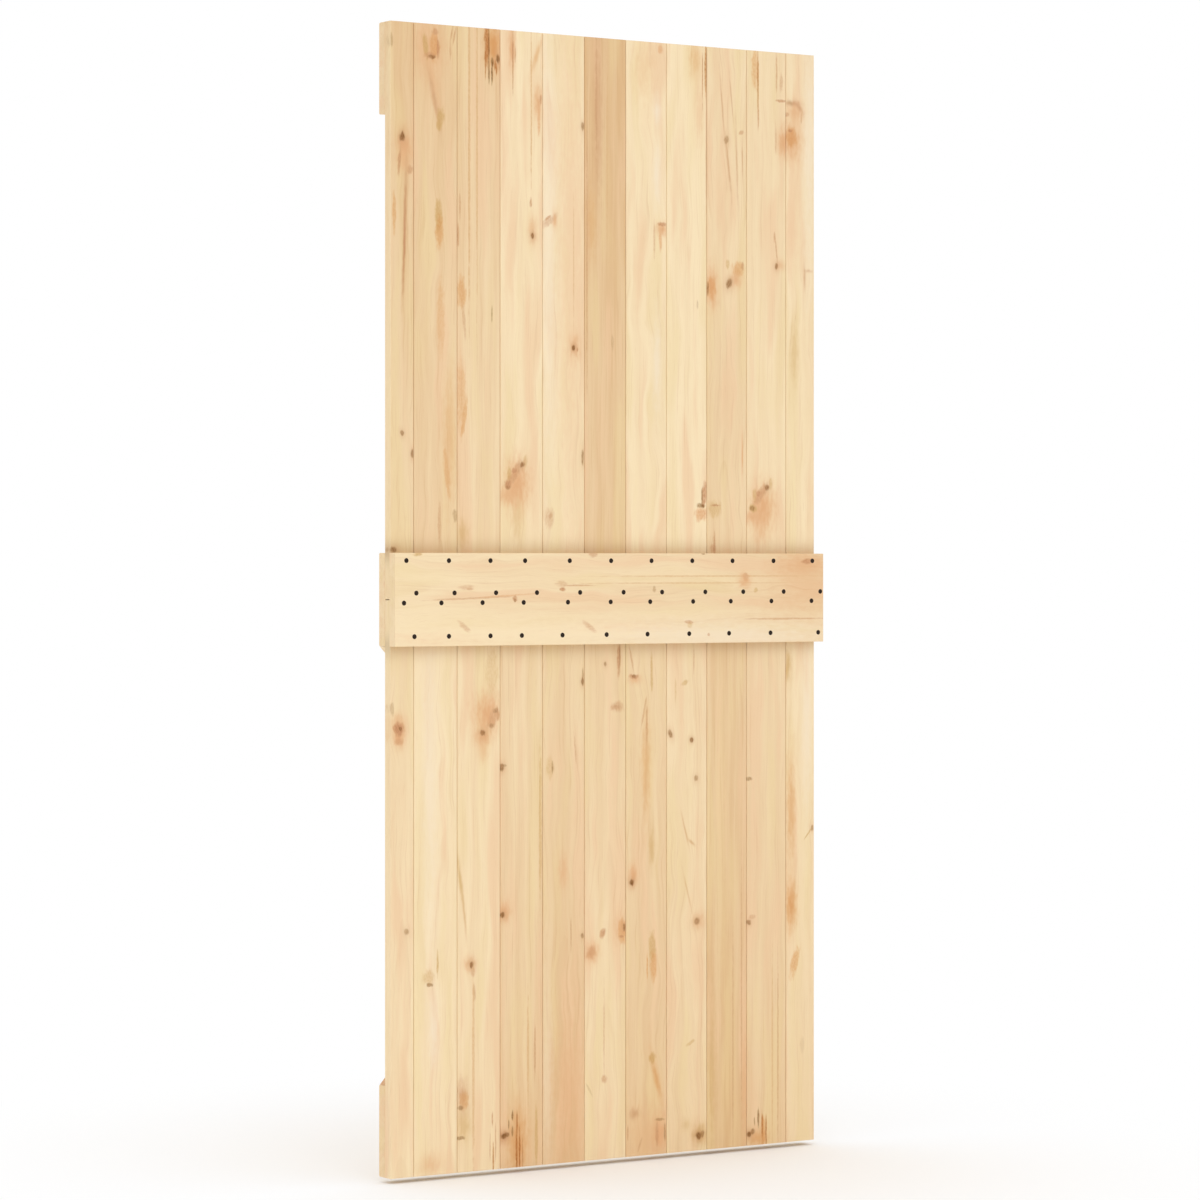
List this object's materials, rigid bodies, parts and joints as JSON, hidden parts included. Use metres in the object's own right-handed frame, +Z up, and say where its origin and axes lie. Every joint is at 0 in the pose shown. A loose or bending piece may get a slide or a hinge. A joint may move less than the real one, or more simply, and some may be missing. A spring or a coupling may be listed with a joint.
{
  "type": "sliding barn door leaf",
  "caption": "Pine sliding barn door leaf: tongue and groove boards in an upper and a lower tier, held by cross battens, with a crossed brace low on the front.",
  "frame": {"origin": "centre of the top batten's front face, where the hanger straps bolt on", "axes": "+X along the width, +Y out of the front, +Z up"},
  "size_m": [0.9588, 0.06, 2.1],
  "materials": {
    "board_pine": "planed, unfinished",
    "batten_pine": "planed, unfinished"
  },
  "bodies": {
    "root": {"upper_board_01": "board_pine", "upper_board_02": "board_pine", "upper_board_03": "board_pine", "upper_board_04": "board_pine", "upper_board_05": "board_pine", "upper_board_06": "board_pine", "upper_board_07": "board_pine", "upper_board_08": "board_pine", "upper_board_09": "board_pine", "upper_board_10": "board_pine", "upper_board_11": "board_pine", "lower_board_01": "board_pine", "lower_board_02": "board_pine", "lower_board_03": "board_pine", "lower_board_04": "board_pine", "lower_board_05": "board_pine", "lower_board_06": "board_pine", "lower_board_07": "board_pine", "lower_board_08": "board_pine", "lower_board_09": "board_pine", "lower_board_10": "board_pine", "lower_board_11": "board_pine", "front_top_batten": "batten_pine", "front_middle_batten": "batten_pine", "front_bottom_batten": "batten_pine", "back_middle_batten": "batten_pine", "brace_whole": "batten_pine", "brace_upper_half": "batten_pine", "brace_lower_half": "batten_pine"}
  },
  "joints": []
}
